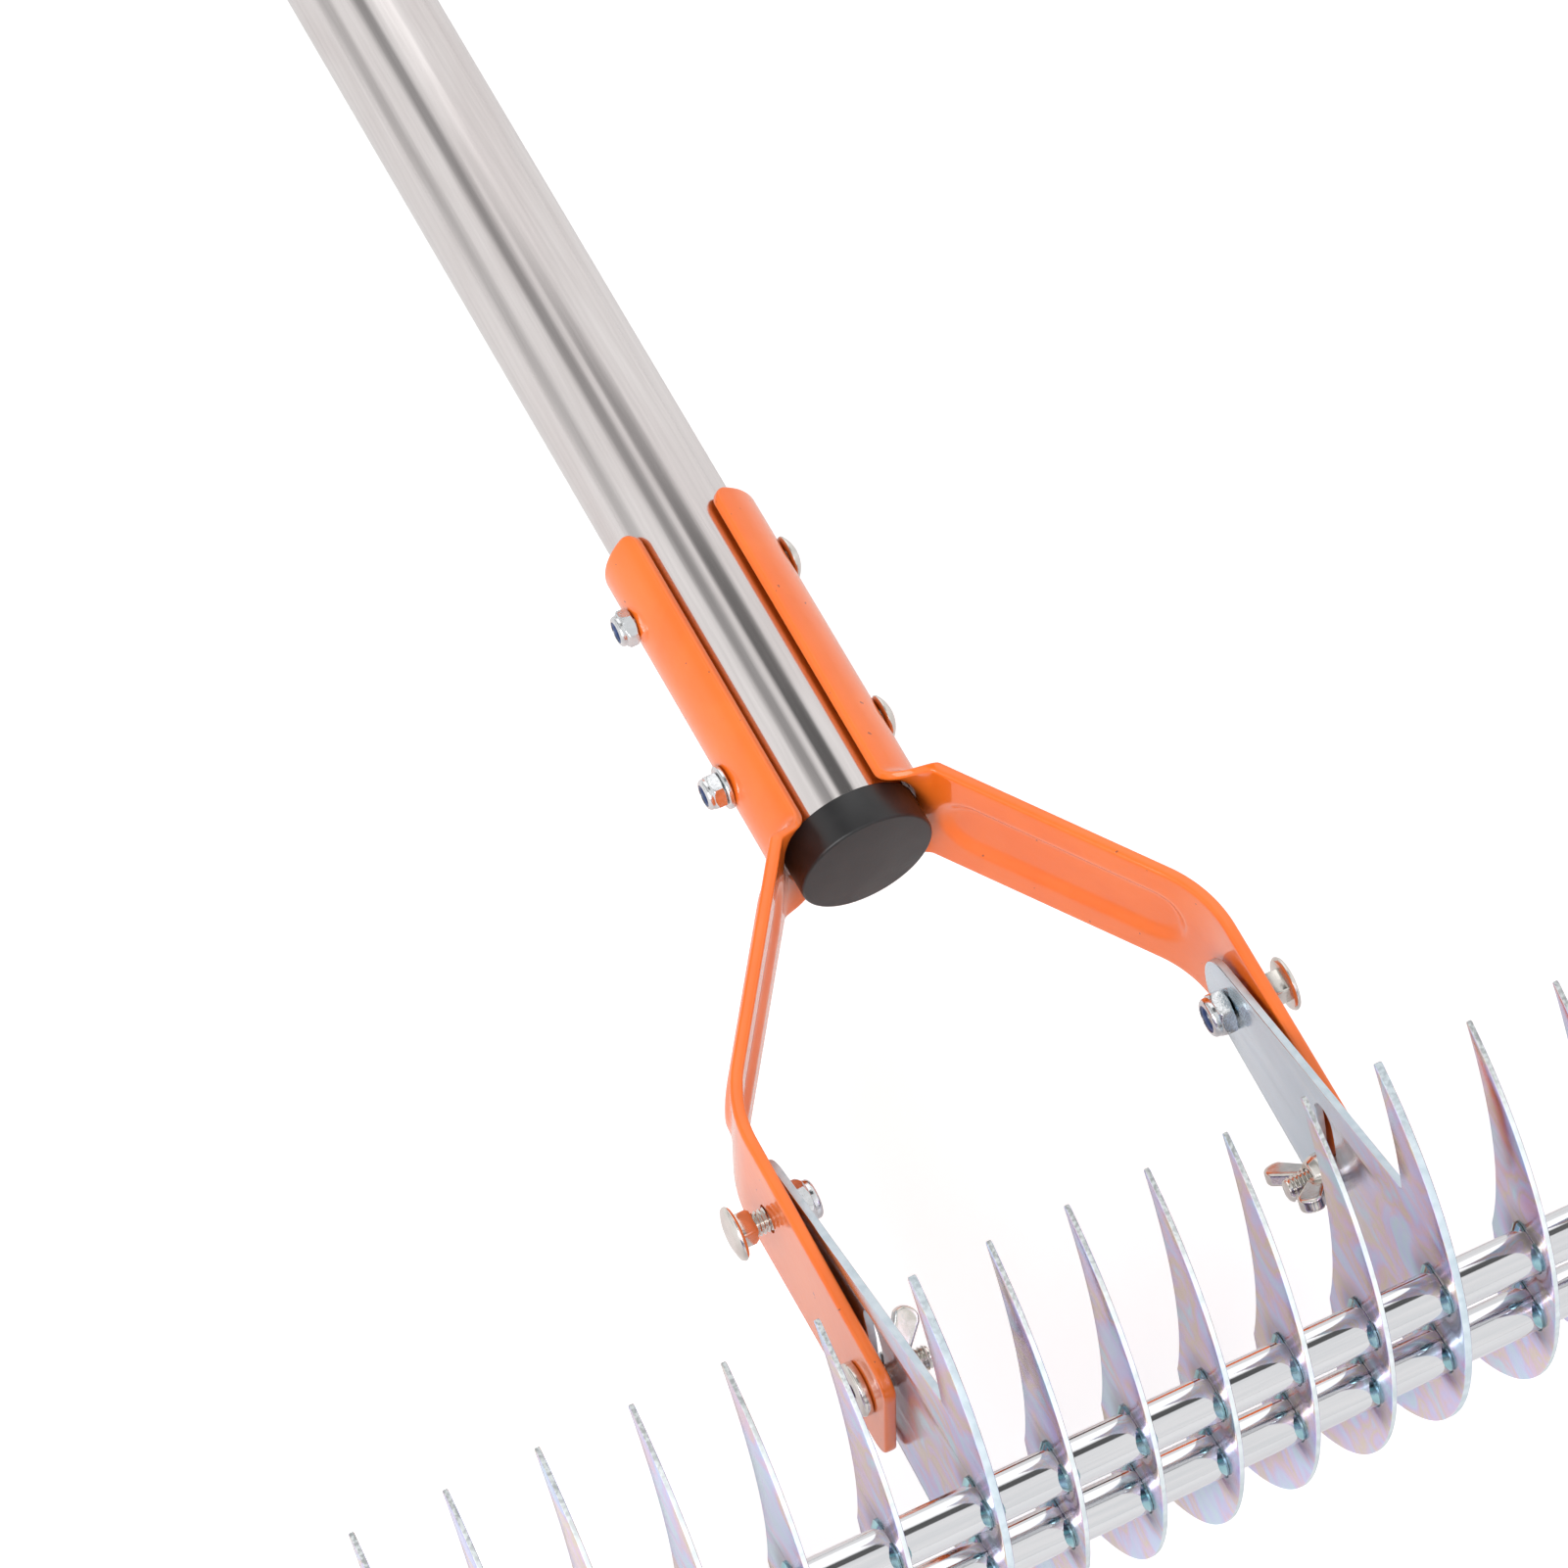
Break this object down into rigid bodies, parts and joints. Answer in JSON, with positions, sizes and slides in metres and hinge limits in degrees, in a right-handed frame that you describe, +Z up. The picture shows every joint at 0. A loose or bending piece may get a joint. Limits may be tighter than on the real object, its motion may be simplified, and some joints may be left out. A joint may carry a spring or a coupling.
{
  "type": "thatch rake",
  "caption": "Long-handled lawn thatch rake: a row of double-ended crescent blades on two rods, tilting in a splayed two-arm yoke that clamps a tubular handle.",
  "frame": {"origin": "on the floor under the middle of the rake's box, with the rake lying on its lower blade points and its grip", "axes": "+X along the blade row, to the right when looking from above with the handle pointing away; +Y from the blades up the handle to the grip; +Z up"},
  "size_m": [0.3922, 1.4352, 0.1279],
  "materials": {
    "stainless_tube": "satin stainless",
    "cap_plastic": "satin black",
    "grip_rubber": "matt black",
    "orange_paint": "glossy orange paint",
    "zinc_fastener": "bright zinc",
    "blue_nylon": "blue nylon",
    "nickel_fastener": "bright nickel",
    "zinc_sheet": "bright zinc with a faint rainbow tint",
    "rod_steel": "polished"
  },
  "bodies": {
    "handle": {"handle_tube": "stainless_tube", "lower_cap": "cap_plastic", "top_cap": "cap_plastic", "grip_sleeve": "grip_rubber", "left_arm": "orange_paint", "right_arm": "orange_paint", "tube_bolts": "zinc_fastener", "tube_nuts": "zinc_fastener", "tube_washer": "zinc_fastener", "pivot_bolts": "zinc_fastener", "pivot_nuts": "zinc_fastener", "nut_rings": "blue_nylon", "wing_bolts": "nickel_fastener"},
    "head": {"left_mount_plate": "zinc_sheet", "right_mount_plate": "zinc_sheet", "upper_rod": "rod_steel", "lower_rod": "rod_steel", "blade_1": "zinc_sheet", "blade_2": "zinc_sheet", "blade_3": "zinc_sheet", "blade_4": "zinc_sheet", "blade_5": "zinc_sheet", "blade_6": "zinc_sheet", "blade_7": "zinc_sheet", "blade_8": "zinc_sheet", "blade_9": "zinc_sheet", "blade_10": "zinc_sheet", "blade_11": "zinc_sheet", "blade_12": "zinc_sheet", "blade_13": "zinc_sheet", "blade_14": "zinc_sheet", "blade_15": "zinc_sheet", "blade_16": "zinc_sheet", "blade_17": "zinc_sheet"},
    "left_wing": {"left_wing_nut": "nickel_fastener"},
    "right_wing": {"right_wing_nut": "nickel_fastener"}
  },
  "joints": [
    {"name": "head_tilt", "type": "hinge", "parent": "handle", "child": "head", "pos_m": [0, -0.60841, 0.05177], "axis": [1, 0, 0], "range_deg": [-6.6, 23.4]},
    {"name": "left_wing_turn", "type": "hinge", "parent": "handle", "child": "left_wing", "pos_m": [-0.0572, -0.6554, 0.05294], "axis": [1, 0, 0], "continuous": true},
    {"name": "right_wing_turn", "type": "hinge", "parent": "handle", "child": "right_wing", "pos_m": [0.0572, -0.6554, 0.05294], "axis": [1, 0, 0], "continuous": true}
  ]
}
